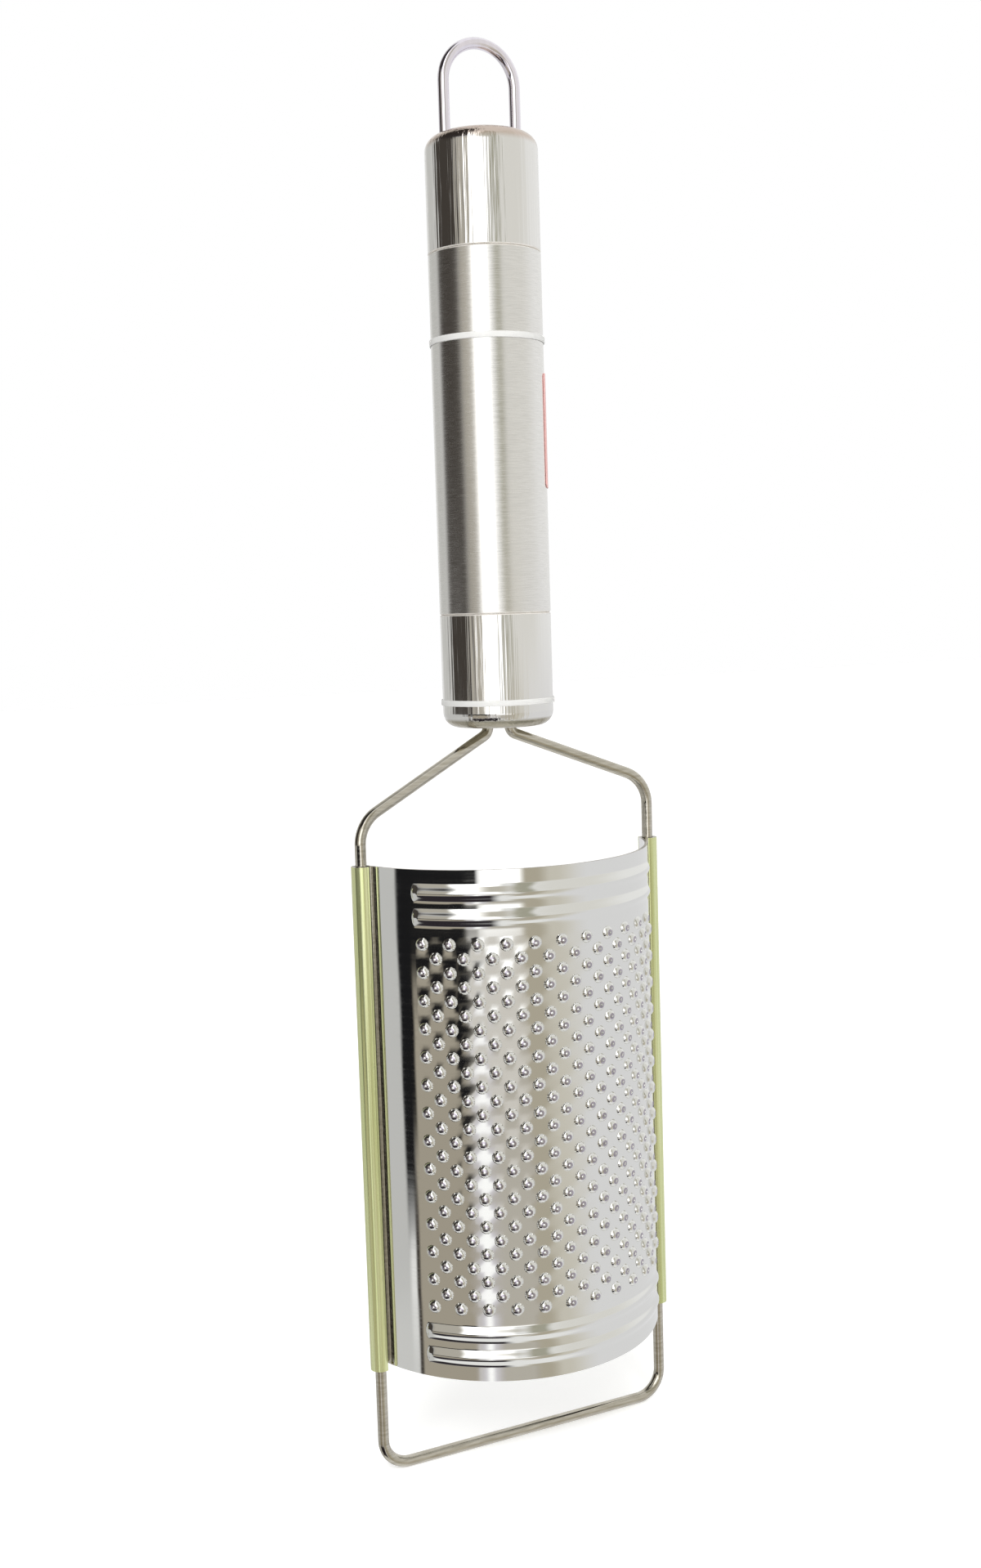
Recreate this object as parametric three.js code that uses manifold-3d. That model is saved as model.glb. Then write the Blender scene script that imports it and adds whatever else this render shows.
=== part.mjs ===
// Hand grater: a hollow round handle with a hanging loop, one bent wire frame, and a deep curved
// grating sheet whose long edges are rolled around the frame's side wires.
// Millimetres, +Z up, grating face towards -Y. The origin is on the inside of the loop's crown,
// where a hook carries the grater.

import * as THREE from 'three';
import { mergeVertices } from 'three/addons/utils/BufferGeometryUtils.js';
import Module from 'manifold-3d';

const wasm = await Module();
wasm.setup();

// Handle: a brushed tube between two polished end caps that plug into it
const HANDLE_DIAMETER = 22;
const TUBE_LENGTH = 69.6;
const TUBE_WALL = 0.8;
const CAP_LENGTH = 22.2;
const TOP_SHOULDER_RADIUS = 3;
const BOTTOM_SHOULDER_RADIUS = 3;
const SPIGOT_LENGTH = 8;
const SPIGOT_WALL = 0.8;
const SPIGOT_CLEARANCE = 0.1;
const SEAM_GAP = 0.1;
const SEAM_CHAMFER = 0.15;

// Hanging loop: a wire staple through the top cap
const LOOP_WIRE_DIAMETER = 2.2;
const LOOP_LEG_SPACING = 15.3;
const LOOP_HEIGHT = 17.4;
const LOOP_INSERTION = 6;

// Wire frame: two tangs in the handle, arms, shoulders, side legs and a bottom bar
const WIRE_DIAMETER = 2.2;
const TANG_SPACING = 4.9;
const TANG_INSERTION = 30;
const TANG_EXIT_DROP = 1.4;
const TANG_BEND_RADIUS = 2;
const LEG_SPACING = 64.4;
const FRAME_FORWARD = 3.3;
const LEFT_SHOULDER_DROP = 16.8;
const RIGHT_SHOULDER_DROP = 13;
const SHOULDER_BEND_RADIUS = 7;
const BAR_BELOW_SHEET = 21.4;
const CORNER_BEND_RADIUS = 5.5;
const WIRE_HOLE_CLEARANCE = 0.12;

// Grating sheet: an arc whose centre line lies behind the side legs
const SHEET_BELOW_SHOULDER = 8.2;
const SHEET_LENGTH = 99.2;
const ARC_CENTRE_BEHIND = 9.4;
const SHEET_THICKNESS = 0.6;
const CURL_CLEARANCE = 0.1;
const LIP_GAP = 0.9;
const FLANGE_WIDTH = 10;

// Teeth: volcano bumps in a staggered field
const TOOTH_PITCH = 5.45;
const TOOTH_BASE_DIAMETER = 2.7;
const TOOTH_HEIGHT = 0.75;
const HOLE_DIAMETER = 0.9;
const DIMPLE_DIAMETER = 1.9;

// Stiffening ribs above and below the teeth
const RIB_INSET = 4.5;
const RIB_SPACING = 4.7;
const RIB_WIDTH = 3.2;
const RIB_HEIGHT = 0.55;
const RIB_TO_TEETH = 0.4;

// Protective film left on the rolled edges
const FILM_THICKNESS = 0.12;
const FILM_CLEARANCE = 0.05;
const FILM_BARE_STEPS = 1;

// Clear bands and plain paper label around the handle
const BAND_HEIGHT = 1.15;
const BAND_THICKNESS = 0.25;
const WRAP_CLEARANCE = 0.05;
const UPPER_BAND_ABOVE_HANDLE_END = 75;
const LOWER_BAND_ABOVE_HANDLE_END = 5;
const LABEL_BELOW_BAND = 5.9;
const LABEL_HEIGHT = 22;
const LABEL_THICKNESS = 0.15;
const LABEL_FROM = THREE.MathUtils.degToRad(-48);
const LABEL_TO = THREE.MathUtils.degToRad(30);

// Finishes
const POLISHED_STEEL = { color: 0xcfcfca, roughness: 0.1, metalness: 1 };
const BRUSHED_STEEL = { color: 0xc4c2ba, roughness: 0.38, metalness: 1 };
const BRIGHT_WIRE = { color: 0xc5c1b0, roughness: 0.17, metalness: 1 };
const MIRROR_SHEET = { color: 0xcdccc6, roughness: 0.06, metalness: 1 };
const GREEN_FILM = { color: 0xc6d278, roughness: 0.35, metalness: 0 };
const CLEAR_BAND = { color: 0xe8e8e4, roughness: 0.25, metalness: 0 };
const RED_PAPER = { color: 0xc8504a, roughness: 0.6, metalness: 0 };

// Mesh fineness
const HANDLE_SEGMENTS = 48;
const SHOULDER_STEPS = 5;
const WIRE_SIDES = 12;
const BEND_STEPS = 6;
const CURL_STEPS = 9;
const LABEL_STEPS = 12;
const BASE_SIDES = 6;
const HOLE_SIDES = 4;
const MERGE_TOLERANCE = 1e-5;

// Places worked out from the sizes above
const handleRadius = HANDLE_DIAMETER / 2;
const wireRadius = WIRE_DIAMETER / 2;
const loopRadius = LOOP_WIRE_DIAMETER / 2;
const handleTop = loopRadius - LOOP_HEIGHT;
const tubeTop = handleTop - CAP_LENGTH;
const tubeBottom = tubeTop - TUBE_LENGTH;
const handleBottom = tubeBottom - CAP_LENGTH;
const spigotRadius = handleRadius - TUBE_WALL - SPIGOT_CLEARANCE;
const capWall = handleRadius - spigotRadius + SPIGOT_WALL;
const lowShoulder = handleBottom - Math.max(LEFT_SHOULDER_DROP, RIGHT_SHOULDER_DROP);
const sheetTop = lowShoulder - SHEET_BELOW_SHOULDER;
const sheetBottom = sheetTop - SHEET_LENGTH;
const barHeight = sheetBottom - BAR_BELOW_SHEET;
const arcCentreY = ARC_CENTRE_BEHIND - FRAME_FORWARD;
const legDistance = Math.hypot(LEG_SPACING / 2, ARC_CENTRE_BEHIND);
const legAngle = Math.atan2(LEG_SPACING / 2, ARC_CENTRE_BEHIND);
const curlInner = wireRadius + CURL_CLEARANCE;
const curlOuter = curlInner + SHEET_THICKNESS;
const curlWrap = 2 * Math.PI - Math.acos((curlInner - LIP_GAP) / curlOuter);
const faceRadius = legDistance - curlInner;
const legCentre = new THREE.Vector2(-LEG_SPACING / 2, -FRAME_FORWARD);

const grater = new THREE.Group();

function finish(look) {
  return new THREE.MeshStandardMaterial(look);
}

function addPiece(name, geometry, material) {
  const mesh = new THREE.Mesh(geometry, material);
  mesh.name = name;
  grater.add(mesh);
}

// A closed geometry as merged corners and triangles, without the slivers that lie on an axis
function closedArrays(geometry) {
  const bare = geometry.clone();
  bare.deleteAttribute('normal');
  bare.deleteAttribute('uv');
  const merged = mergeVertices(bare, MERGE_TOLERANCE);
  const index = Array.from(merged.index.array);
  const triangles = [];
  for (let i = 0; i < index.length; i += 3) {
    const [a, b, c] = index.slice(i, i + 3);
    if (a !== b && b !== c && c !== a) {
      triangles.push(a, b, c);
    }
  }
  return { vertProperties: new Float32Array(merged.attributes.position.array), triangles };
}

function toSolid(geometry) {
  const { vertProperties, triangles } = closedArrays(geometry);
  const triVerts = new Uint32Array(triangles);
  return new wasm.Manifold(new wasm.Mesh({ numProp: 3, vertProperties, triVerts }));
}

function toGeometry(solid) {
  const mesh = solid.getMesh();
  const geometry = new THREE.BufferGeometry();
  geometry.setAttribute('position', new THREE.BufferAttribute(new Float32Array(mesh.vertProperties), 3));
  geometry.setIndex(new THREE.BufferAttribute(new Uint32Array(mesh.triVerts), 1));
  return geometry;
}

// A turned piece: the profile runs (radius, height), and height becomes +Z
function turned(profile) {
  const points = profile.map(([radius, height]) => new THREE.Vector2(radius, height));
  const geometry = new THREE.LatheGeometry(points, HANDLE_SEGMENTS);
  geometry.rotateX(Math.PI / 2);
  return toGeometry(toSolid(geometry));
}

function uprightRod(diameter, x, low, high) {
  const rod = new THREE.CylinderGeometry(diameter / 2, diameter / 2, high - low, WIRE_SIDES);
  rod.rotateX(Math.PI / 2);
  rod.translate(x, 0, (low + high) / 2);
  return toSolid(rod);
}

// Points of a rounded corner, from its flat side to its upright side
function roundedCorner(centreRadius, centreHeight, radius) {
  const points = [];
  for (let step = 0; step <= SHOULDER_STEPS; step += 1) {
    const turn = (Math.PI / 2) * (1 - step / SHOULDER_STEPS);
    points.push([centreRadius + radius * Math.cos(turn), centreHeight + radius * Math.sin(turn)]);
  }
  return points;
}

// An end cap standing on its seam: closed end up, spigot down, the inside a wall's depth from the outside
function capProfile(edgeRadius) {
  const inside = handleRadius - capWall;
  const ceiling = CAP_LENGTH - capWall;
  const outerCorner = roundedCorner(handleRadius - edgeRadius, CAP_LENGTH - edgeRadius, edgeRadius);
  const innerEdge = Math.max(edgeRadius - capWall, 0);
  const innerCorner = innerEdge > 0
    ? roundedCorner(inside - innerEdge, ceiling - innerEdge, innerEdge).reverse()
    : [[inside, ceiling]];
  const outsideDown = [[0, CAP_LENGTH], ...outerCorner, [handleRadius, SEAM_CHAMFER]];
  const seam = [[handleRadius - SEAM_CHAMFER, 0], [spigotRadius, 0]];
  const spigotEnd = [[spigotRadius, -SPIGOT_LENGTH], [inside, -SPIGOT_LENGTH]];
  const insideUp = [...innerCorner, [0, ceiling]];
  return [...outsideDown, ...seam, ...spigotEnd, ...insideUp].reverse();
}

function drilled(geometry, spacing, diameter, low, high) {
  let solid = toSolid(geometry);
  for (const side of [-1, 1]) {
    solid = solid.subtract(uprightRod(diameter, (side * spacing) / 2, low, high));
  }
  return toGeometry(solid);
}

function topCap() {
  const cap = turned(capProfile(TOP_SHOULDER_RADIUS));
  cap.translate(0, 0, tubeTop);
  const hole = LOOP_WIRE_DIAMETER + 2 * WIRE_HOLE_CLEARANCE;
  const low = handleTop - LOOP_INSERTION - WIRE_HOLE_CLEARANCE;
  return drilled(cap, LOOP_LEG_SPACING, hole, low, handleTop + LOOP_HEIGHT);
}

function bottomCap() {
  const cap = turned(capProfile(BOTTOM_SHOULDER_RADIUS));
  cap.rotateX(Math.PI);
  cap.translate(0, 0, tubeBottom);
  const hole = WIRE_DIAMETER + 2 * WIRE_HOLE_CLEARANCE;
  const high = handleBottom + TANG_INSERTION + WIRE_HOLE_CLEARANCE;
  return drilled(cap, TANG_SPACING, hole, handleBottom - WIRE_DIAMETER, high);
}

function handleTube() {
  const inner = handleRadius - TUBE_WALL;
  const low = tubeBottom + SEAM_GAP;
  const high = tubeTop - SEAM_GAP;
  const rim = handleRadius - SEAM_CHAMFER;
  const outside = [[rim, low], [handleRadius, low + SEAM_CHAMFER], [handleRadius, high - SEAM_CHAMFER]];
  return turned([[inner, low], ...outside, [rim, high], [inner, high], [inner, low]]);
}

// A wire's route: stations at its ends and around its bends, with the section kept square to +Y
class WireRoute extends THREE.Curve {
  constructor(stations) {
    super();
    this.stations = stations;
  }

  station(t) {
    return this.stations[Math.round(t * (this.stations.length - 1))];
  }

  getPoint(t, target = new THREE.Vector3()) {
    return target.copy(this.station(t).point);
  }

  getTangent(t, target = new THREE.Vector3()) {
    return target.copy(this.station(t).tangent);
  }

  getUtoTmapping(u) {
    return u;
  }

  computeFrenetFrames() {
    const tangents = this.stations.map(({ tangent }) => tangent.clone());
    const across = new THREE.Vector3(0, 1, 0);
    const normals = tangents.map((tangent) => across.clone().projectOnPlane(tangent).normalize());
    const binormals = tangents.map((tangent, i) => tangent.clone().cross(normals[i]));
    return { tangents, normals, binormals };
  }
}

// Stations of one bend: an arc that leaves one straight and meets the next
function bendStations(before, corner, after, radius) {
  const arriving = corner.clone().sub(before).normalize();
  const leaving = after.clone().sub(corner).normalize();
  const turn = arriving.angleTo(leaving);
  const start = corner.clone().addScaledVector(arriving, -radius * Math.tan(turn / 2));
  const inward = leaving.clone().projectOnPlane(arriving).normalize();
  const stations = [];
  for (let step = 0; step <= BEND_STEPS; step += 1) {
    const angle = (turn * step) / BEND_STEPS;
    const point = start.clone().addScaledVector(arriving, radius * Math.sin(angle));
    point.addScaledVector(inward, radius * (1 - Math.cos(angle)));
    const tangent = arriving.clone().multiplyScalar(Math.cos(angle)).addScaledVector(inward, Math.sin(angle));
    stations.push({ point, tangent });
  }
  return stations;
}

// A wire's section, with a flat side towards each axis
function wireSection(diameter) {
  const points = [];
  for (let side = 0; side < WIRE_SIDES; side += 1) {
    const angle = ((side + 0.5) * 2 * Math.PI) / WIRE_SIDES;
    points.push(new THREE.Vector2(Math.cos(angle), Math.sin(angle)).multiplyScalar(diameter / 2));
  }
  return new THREE.Shape(points);
}

// A round wire through corner points, each inner corner with its own bend radius
function bentWire(corners, radii, diameter) {
  const last = corners.length - 1;
  const stations = [{ point: corners[0], tangent: corners[1].clone().sub(corners[0]).normalize() }];
  for (let i = 1; i < last; i += 1) {
    stations.push(...bendStations(corners[i - 1], corners[i], corners[i + 1], radii[i - 1]));
  }
  stations.push({ point: corners[last], tangent: corners[last].clone().sub(corners[last - 1]).normalize() });
  const isApart = ({ point }, i) => i === 0 || point.distanceTo(stations[i - 1].point) > MERGE_TOLERANCE;
  const apart = stations.filter(isApart);
  const options = { steps: apart.length - 1, extrudePath: new WireRoute(apart), bevelEnabled: false };
  return toGeometry(toSolid(new THREE.ExtrudeGeometry(wireSection(diameter), options)));
}

function hangingLoop() {
  const half = LOOP_LEG_SPACING / 2;
  const foot = handleTop - LOOP_INSERTION;
  const crown = handleTop + LOOP_HEIGHT;
  const corners = [[-half, foot], [-half, crown], [half, crown], [half, foot]];
  const places = corners.map(([x, z]) => new THREE.Vector3(x, 0, z));
  return bentWire(places, [half, half], LOOP_WIRE_DIAMETER);
}

function wireFrame() {
  const tang = TANG_SPACING / 2;
  const leg = LEG_SPACING / 2;
  const high = handleBottom + TANG_INSERTION;
  const exit = handleBottom - TANG_EXIT_DROP;
  const corners = [
    [-tang, 0, high],
    [-tang, 0, exit],
    [-leg, -FRAME_FORWARD, handleBottom - LEFT_SHOULDER_DROP],
    [-leg, -FRAME_FORWARD, barHeight],
    [leg, -FRAME_FORWARD, barHeight],
    [leg, -FRAME_FORWARD, handleBottom - RIGHT_SHOULDER_DROP],
    [tang, 0, exit],
    [tang, 0, high],
  ];
  const places = corners.map((corner) => new THREE.Vector3(...corner));
  const half = [TANG_BEND_RADIUS, SHOULDER_BEND_RADIUS, CORNER_BEND_RADIUS];
  return bentWire(places, [...half, ...half.slice().reverse()], WIRE_DIAMETER);
}

// The tooth field on the unrolled sheet: half a pitch between lattice lines, a tooth where both
// indices add up to an even number, and one empty line all round
const toothStep = TOOTH_PITCH / 2;
const fieldColumns = Math.floor((2 * legAngle * faceRadius - 2 * FLANGE_WIDTH) / toothStep) - 1;
const ribEnd = RIB_INSET + RIB_SPACING + RIB_WIDTH / 2;
const fieldRows = 2 * Math.floor((SHEET_LENGTH - 2 * (ribEnd + RIB_TO_TEETH + toothStep)) / TOOTH_PITCH) + 1;
const fieldTop = (sheetTop + sheetBottom) / 2 + ((fieldRows - 1) / 2) * toothStep;
const isTooth = (column, row) => (column + row) % 2 === 0;
const onSheet = (column, row) => column >= -1 && column <= fieldColumns && row >= -1 && row <= fieldRows;

// A point of the arc: angle from -Y towards +X, rise off the grating face, height
function skin({ angle, rise, z }) {
  const radius = faceRadius + rise;
  return new THREE.Vector3(radius * Math.sin(angle), arcCentreY - radius * Math.cos(angle), z);
}

function lattice(column, row, rise = 0) {
  const angle = ((column - (fieldColumns - 1) / 2) * toothStep) / faceRadius;
  return { angle, rise, z: fieldTop - row * toothStep };
}

const below = (place) => ({ ...place, rise: place.rise - SHEET_THICKNESS });

// Triangles of the sheet, collected as a closed shell
const shell = [];

function triangle(a, b, c) {
  shell.push(...a.toArray(), ...b.toArray(), ...c.toArray());
}

// A patch of plain sheet: its grating face, and its back the other way round
function patch(a, b, c) {
  triangle(skin(a), skin(b), skin(c));
  triangle(skin(below(a)), skin(below(c)), skin(below(b)));
}

// Triangles between two rings that run counter-clockwise and start in the same direction
function stitch(outer, inner) {
  let i = 0;
  let j = 0;
  while (i < outer.length || j < inner.length) {
    const from = outer[i % outer.length];
    const to = inner[j % inner.length];
    const stepOuter = j >= inner.length || (i + 1) / outer.length <= (j + 1) / inner.length;
    if (i < outer.length && stepOuter) {
      triangle(from, outer[(i + 1) % outer.length], to);
      i += 1;
    } else {
      triangle(from, inner[(j + 1) % inner.length], to);
      j += 1;
    }
  }
}

function cellRing(column, row, rise) {
  const corners = [[column + 1, row], [column, row - 1], [column - 1, row], [column, row + 1]];
  return corners.map(([c, r]) => skin(lattice(c, r, rise)));
}

function toothRing(column, row, diameter, rise, sides) {
  const centre = lattice(column, row, rise);
  const ring = [];
  for (let side = 0; side < sides; side += 1) {
    const turn = (2 * Math.PI * side) / sides;
    const angle = centre.angle + ((diameter / 2) * Math.cos(turn)) / faceRadius;
    ring.push(skin({ angle, rise, z: centre.z + (diameter / 2) * Math.sin(turn) }));
  }
  return ring;
}

// One tooth: up from the face to a sharp rim, and through the hole to the dimple at the back
function tooth(column, row) {
  const rings = [
    cellRing(column, row, 0),
    toothRing(column, row, TOOTH_BASE_DIAMETER, 0, BASE_SIDES),
    toothRing(column, row, HOLE_DIAMETER, TOOTH_HEIGHT, HOLE_SIDES),
    toothRing(column, row, DIMPLE_DIAMETER, -SHEET_THICKNESS, HOLE_SIDES),
    cellRing(column, row, -SHEET_THICKNESS),
  ];
  rings.slice(1).forEach((ring, i) => stitch(rings[i], ring));
}

// The plain half or quarter of a cell at the edge of the field
function edgeCell(column, row) {
  const around = [[column + 1, row], [column, row - 1], [column - 1, row], [column, row + 1]];
  const first = around.findIndex(([c, r], i) => onSheet(c, r) && !onSheet(...around[(i + 3) % 4]));
  const inOrder = around.map((_, i) => around[(first + i) % 4]);
  const inside = inOrder.filter(([c, r]) => onSheet(c, r)).map(([c, r]) => lattice(c, r));
  const corner = inside.length === 2 ? [lattice(column, row)] : [];
  patch(...inside, ...corner);
}

function toothField() {
  for (let row = -1; row <= fieldRows; row += 1) {
    for (let column = -1; column <= fieldColumns; column += 1) {
      const edge = row === -1 || row === fieldRows || column === -1 || column === fieldColumns;
      if (isTooth(column, row)) {
        (edge ? edgeCell : tooth)(column, row);
      }
    }
  }
}

// Lattice indices along one side of the field, with its corners
function sideIndices(count, isVertex) {
  const all = Array.from({ length: count + 2 }, (_, i) => i - 1);
  return all.filter((i) => i === -1 || i === count || isVertex(i));
}

// Heights and rises of the ribbed margin, counted inwards from the sheet's end
function marginLevels() {
  const levels = [[0, 0]];
  for (const centre of [RIB_INSET, RIB_INSET + RIB_SPACING]) {
    levels.push([centre - RIB_WIDTH / 2, 0], [centre, RIB_HEIGHT], [centre + RIB_WIDTH / 2, 0]);
  }
  return levels;
}

// A ribbed margin between the field's first or last line and the sheet's end; inward is -1 at the top
function margin(row, end, inward) {
  const columns = sideIndices(fieldColumns, (column) => !isTooth(column, row));
  const levels = marginLevels().map(([depth, rise]) => ({ z: end + inward * depth, rise }));
  levels.push({ z: lattice(0, row).z, rise: 0 });
  const place = (j, { z, rise }) => {
    const atEnd = j === 0 || j === columns.length - 1;
    return { angle: lattice(columns[j], row).angle, rise: atEnd ? 0 : rise, z };
  };
  for (let j = 0; j + 1 < columns.length; j += 1) {
    for (let i = 0; i + 1 < levels.length; i += 1) {
      const [upper, lower] = inward < 0 ? [levels[i], levels[i + 1]] : [levels[i + 1], levels[i]];
      patch(place(j, lower), place(j + 1, lower), place(j + 1, upper));
      patch(place(j, lower), place(j + 1, upper), place(j, upper));
    }
  }
  return columns.map((_, j) => place(j, levels[0]));
}

// A point around the left side wire; the roll starts towards the arc's centre and turns over the back
function curlPoint(radius, step) {
  const start = Math.PI / 2 - legAngle;
  const angle = start + (curlWrap * step) / CURL_STEPS;
  return new THREE.Vector3(legCentre.x + radius * Math.cos(angle), legCentre.y + radius * Math.sin(angle), 0);
}

// Plan of the left rolled edge, from the field's side line over the flange to the lip, as pairs of
// a point on the grating face and one on the back
function curlPlan() {
  const fieldSide = lattice(-1, 0).angle;
  const angles = [fieldSide, (fieldSide - legAngle) / 2, -legAngle];
  const plan = angles.map((angle) => {
    const place = { angle, rise: 0, z: 0 };
    return [skin(place), skin(below(place))];
  });
  for (let step = 1; step <= CURL_STEPS; step += 1) {
    plan.push([curlPoint(curlInner, step), curlPoint(curlOuter, step)]);
  }
  return plan;
}

// Heights of the corners along the field's side line, from the sheet's top to its bottom
function sideHeights(column) {
  const rows = sideIndices(fieldRows, (row) => !isTooth(column, row));
  const depths = marginLevels().map(([depth]) => depth);
  const fieldHeights = rows.map((row) => lattice(column, row).z);
  const bottomHeights = depths.map((depth) => sheetBottom + depth).reverse();
  return [...depths.map((depth) => sheetTop - depth), ...fieldHeights, ...bottomHeights];
}

function quad(face, a, b, c, d) {
  face(a, b, c);
  face(a, c, d);
}

// One side of a rolled edge: a fan beside the tooth field, then strips around the roll to the lip
function rolledFace(face, line, heights, at) {
  const fieldSide = heights.map((z) => at(line[0], z));
  const apex = at(line[1], sheetTop);
  fieldSide.slice(1).forEach((low, i) => face(apex, low, fieldSide[i]));
  face(apex, at(line[1], sheetBottom), fieldSide[fieldSide.length - 1]);
  for (let i = 1; i + 1 < line.length; i += 1) {
    const [right, left] = [line[i], line[i + 1]];
    quad(face, at(left, sheetTop), at(left, sheetBottom), at(right, sheetBottom), at(right, sheetTop));
  }
}

// The cut metal of a rolled edge: its two ends, and the lip along its length
function rolledRim(face, plan, at) {
  for (let i = 0; i + 1 < plan.length; i += 1) {
    const [[nearFace, nearBack], [farFace, farBack]] = [plan[i], plan[i + 1]];
    const ring = [farFace, nearFace, nearBack, farBack];
    quad(face, ...ring.map((point) => at(point, sheetTop)));
    quad(face, ...ring.reverse().map((point) => at(point, sheetBottom)));
  }
  const [lipFace, lipBack] = plan[plan.length - 1];
  const [upperFace, upperBack] = [at(lipFace, sheetTop), at(lipBack, sheetTop)];
  quad(face, upperFace, upperBack, at(lipBack, sheetBottom), at(lipFace, sheetBottom));
}

// One rolled edge: side -1 is the left one as planned, side 1 its mirror image
function rolledEdge(side) {
  const plan = curlPlan();
  const heights = sideHeights(side < 0 ? -1 : fieldColumns);
  const reversed = (a, b, c) => triangle(a, c, b);
  const [facing, away] = side < 0 ? [triangle, reversed] : [reversed, triangle];
  const at = (point, z) => new THREE.Vector3(-side * point.x, point.y, z);
  rolledFace(facing, plan.map(([face]) => face), heights, at);
  rolledFace(away, plan.map(([, back]) => back), heights, at);
  rolledRim(facing, plan, at);
}

// The sheet's cut end between the rolled edges
function cutEnd(places, upward) {
  for (let j = 0; j + 1 < places.length; j += 1) {
    const [a, b] = [places[j], places[j + 1]];
    const [left, right] = upward ? [a, b] : [b, a];
    triangle(skin(left), skin(right), skin(below(right)));
    triangle(skin(left), skin(below(right)), skin(below(left)));
  }
}

function graterBlade() {
  toothField();
  cutEnd(margin(-1, sheetTop, -1), true);
  cutEnd(margin(fieldRows, sheetBottom, 1), false);
  rolledEdge(-1);
  rolledEdge(1);
  const geometry = new THREE.BufferGeometry();
  geometry.setAttribute('position', new THREE.Float32BufferAttribute(shell, 3));
  return toGeometry(toSolid(geometry));
}

// The film hugs the roll's outside, from past the sheet's back to the lip
function edgeFilm(side) {
  const near = curlOuter + FILM_CLEARANCE;
  const far = near + FILM_THICKNESS;
  const steps = Array.from({ length: CURL_STEPS + 1 - FILM_BARE_STEPS }, (_, i) => i + FILM_BARE_STEPS);
  const outline = [
    ...steps.map((step) => curlPoint(far, step)),
    ...steps.reverse().map((step) => curlPoint(near, step)),
  ];
  const shape = new THREE.Shape(outline.map((point) => new THREE.Vector2(-side * point.x, point.y)));
  const film = new THREE.ExtrudeGeometry(shape, { depth: SHEET_LENGTH, bevelEnabled: false });
  film.translate(0, 0, sheetBottom);
  return toGeometry(toSolid(film));
}

function handleBand(aboveHandleEnd) {
  const inner = handleRadius + WRAP_CLEARANCE;
  const outer = inner + BAND_THICKNESS;
  const low = handleBottom + aboveHandleEnd - BAND_HEIGHT / 2;
  const high = low + BAND_HEIGHT;
  return turned([[inner, low], [outer, low], [outer, high], [inner, high], [inner, low]]);
}

function paperLabel() {
  const inner = handleRadius + WRAP_CLEARANCE;
  const arc = (radius, i) => {
    const angle = LABEL_FROM + ((LABEL_TO - LABEL_FROM) * i) / LABEL_STEPS;
    return new THREE.Vector2(radius * Math.cos(angle), radius * Math.sin(angle));
  };
  const steps = Array.from({ length: LABEL_STEPS + 1 }, (_, i) => i);
  const outside = steps.map((i) => arc(inner + LABEL_THICKNESS, i));
  const outline = [...outside, ...steps.reverse().map((i) => arc(inner, i))];
  const options = { depth: LABEL_HEIGHT, bevelEnabled: false };
  const label = new THREE.ExtrudeGeometry(new THREE.Shape(outline), options);
  const top = handleBottom + UPPER_BAND_ABOVE_HANDLE_END - BAND_HEIGHT / 2 - LABEL_BELOW_BAND;
  label.translate(0, 0, top - LABEL_HEIGHT);
  return toGeometry(toSolid(label));
}

addPiece('top_cap', topCap(), finish(POLISHED_STEEL));
addPiece('handle_tube', handleTube(), finish(BRUSHED_STEEL));
addPiece('bottom_cap', bottomCap(), finish(POLISHED_STEEL));
addPiece('hanging_loop', hangingLoop(), finish(BRIGHT_WIRE));
addPiece('wire_frame', wireFrame(), finish(BRIGHT_WIRE));
addPiece('grater_blade', graterBlade(), finish(MIRROR_SHEET));
addPiece('left_edge_film', edgeFilm(-1), finish(GREEN_FILM));
addPiece('right_edge_film', edgeFilm(1), finish(GREEN_FILM));
addPiece('upper_band', handleBand(UPPER_BAND_ABOVE_HANDLE_END), finish(CLEAR_BAND));
addPiece('lower_band', handleBand(LOWER_BAND_ABOVE_HANDLE_END), finish(CLEAR_BAND));
addPiece('paper_label', paperLabel(), finish(RED_PAPER));

export default grater;
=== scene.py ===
# %% [markdown]
# # Dressing a hand grater
# A round steel handle with a hanging loop, a bent wire frame, and a deep mirror sheet full of raised
# teeth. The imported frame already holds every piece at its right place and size. It is made of flat
# facets, and a mirror shows each of them, so every piece is modelled again here, finer and rounder, and
# takes the place of its solid.

# %% Load the frame
import math

import bmesh
import bpy
import numpy as np
from mathutils import Matrix, Vector


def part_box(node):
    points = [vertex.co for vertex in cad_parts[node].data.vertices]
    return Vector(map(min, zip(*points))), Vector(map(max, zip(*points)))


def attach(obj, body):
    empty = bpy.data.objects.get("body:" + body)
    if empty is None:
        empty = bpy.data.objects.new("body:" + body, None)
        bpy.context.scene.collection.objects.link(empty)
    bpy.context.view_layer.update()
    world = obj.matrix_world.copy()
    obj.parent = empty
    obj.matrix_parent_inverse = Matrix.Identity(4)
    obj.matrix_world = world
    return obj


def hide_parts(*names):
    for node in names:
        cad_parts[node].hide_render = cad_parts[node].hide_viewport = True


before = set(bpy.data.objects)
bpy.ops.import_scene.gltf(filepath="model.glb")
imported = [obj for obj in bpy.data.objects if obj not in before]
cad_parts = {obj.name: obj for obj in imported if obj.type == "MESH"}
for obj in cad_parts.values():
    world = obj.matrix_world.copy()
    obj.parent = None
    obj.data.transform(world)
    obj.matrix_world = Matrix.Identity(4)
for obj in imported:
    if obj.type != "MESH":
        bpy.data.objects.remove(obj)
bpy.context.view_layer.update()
MM = 0.001

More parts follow.
